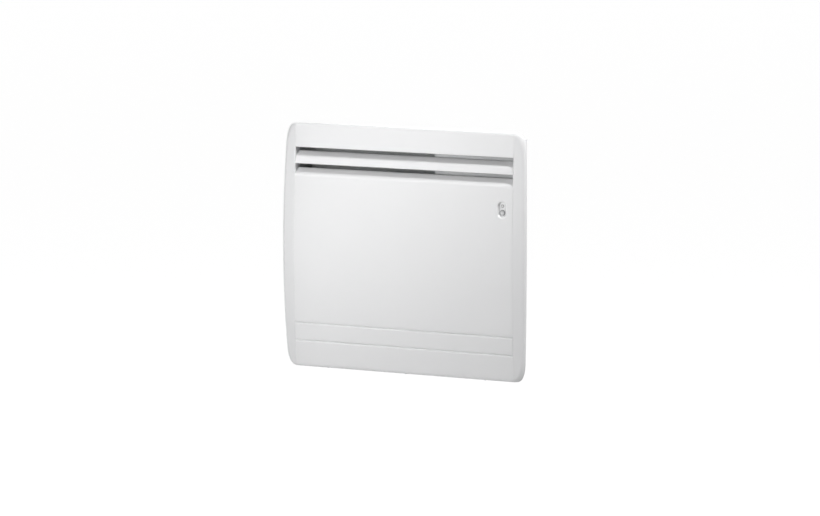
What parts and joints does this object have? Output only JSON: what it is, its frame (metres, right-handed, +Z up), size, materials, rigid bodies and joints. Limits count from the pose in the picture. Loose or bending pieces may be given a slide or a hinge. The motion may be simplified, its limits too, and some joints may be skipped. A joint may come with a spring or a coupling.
{
  "type": "wall panel convector heater",
  "caption": "Slim wall-hung electric convector with an arched sheet-steel front, louvred air outlet near the top, rounded end caps and a small inset control dish.",
  "frame": {"origin": "point on the wall plane behind the middle of the bracket's cross bar, at half the height of the front", "axes": "+X to the right for a person who faces the heater, +Y into the wall, +Z up; the room is on the -Y side"},
  "size_m": [0.616, 0.112, 0.5773],
  "materials": {
    "white_steel": "white powder-coated sheet steel, satin",
    "white_plastic": "white moulded plastic, satin",
    "grey_plastic": "grey moulded plastic",
    "black_plastic": "black moulded plastic",
    "zinc_steel": "zinc-plated sheet steel",
    "aluminium": "extruded aluminium, plain",
    "bright_steel": "bright zinc-plated steel",
    "ceramic": "unglazed ceramic",
    "board": "glass-fibre circuit board, green",
    "lens": "clear and frosted light guide",
    "red_cover": "silicone cover of a lead, red",
    "blue_cover": "silicone cover of a lead, blue"
  },
  "bodies": {
    "bracket": {"wall_bracket": "zinc_steel"},
    "heater": {"board_rail_left": "white_plastic", "board_rail_right": "white_plastic", "board_transformer": "grey_plastic", "button_spring": "bright_steel", "button_switch": "black_plastic", "cap_screw_left_1": "bright_steel", "cap_screw_left_2": "bright_steel", "cap_screw_left_3": "bright_steel", "cap_screw_right_1": "bright_steel", "cap_screw_right_2": "bright_steel", "cap_screw_right_3": "bright_steel", "compartment_shield": "zinc_steel", "control_dish": "white_plastic", "control_housing": "white_plastic", "cutout_clip": "zinc_steel", "element_bush_left": "ceramic", "element_bush_right": "ceramic", "element_lead_left": "blue_cover", "element_lead_right": "red_cover", "element_rod": "bright_steel", "element_support_left": "zinc_steel", "element_support_right": "zinc_steel", "end_cap_left": "white_plastic", "end_cap_right": "white_plastic", "front_baffle": "zinc_steel", "front_panel": "white_steel", "heating_element": "aluminium", "indicator_board": "board", "indicator_lamp": "lens", "indicator_lead": "black_plastic", "indicator_lens": "lens", "intake_grille": "zinc_steel", "lock_nut_left": "zinc_steel", "lock_nut_right": "zinc_steel", "lock_screw_left": "bright_steel", "lock_screw_right": "bright_steel", "mode_switch": "black_plastic", "panel_screw_1": "bright_steel", "panel_screw_2": "bright_steel", "panel_screw_3": "bright_steel", "power_board": "board", "power_relay": "black_plastic", "rear_casing": "white_steel", "rear_heat_shield": "zinc_steel", "sensor_clip": "white_plastic", "supply_gland": "black_plastic", "temperature_sensor": "black_plastic", "terminal_block": "ceramic", "thermal_cutout": "black_plastic", "thermostat_body": "black_plastic"},
    "dial": {"thermostat_dial": "grey_plastic"},
    "slider": {"mode_slider": "grey_plastic"},
    "button": {"push_button": "grey_plastic"}
  },
  "joints": [
    {"name": "lift_off", "type": "slide", "parent": "bracket", "child": "heater", "axis": [0, 0, 1], "range_m": [0, 0.016]},
    {"name": "thermostat_turn", "type": "hinge", "parent": "heater", "child": "dial", "pos_m": [0.1542, -0.0501, 0.27], "axis": [0, 0, -1], "range_deg": [0, 270]},
    {"name": "mode_slide", "type": "slide", "parent": "heater", "child": "slider", "axis": [1, 0, 0], "range_m": [0, 0.014]},
    {"name": "button_press", "type": "slide", "parent": "heater", "child": "button", "axis": [0, 0.9995, -0.0321], "range_m": [0, 0.0015], "stiffness_N_per_m": 600, "springref_m": -0.0005, "deforming": ["button_spring"]}
  ]
}
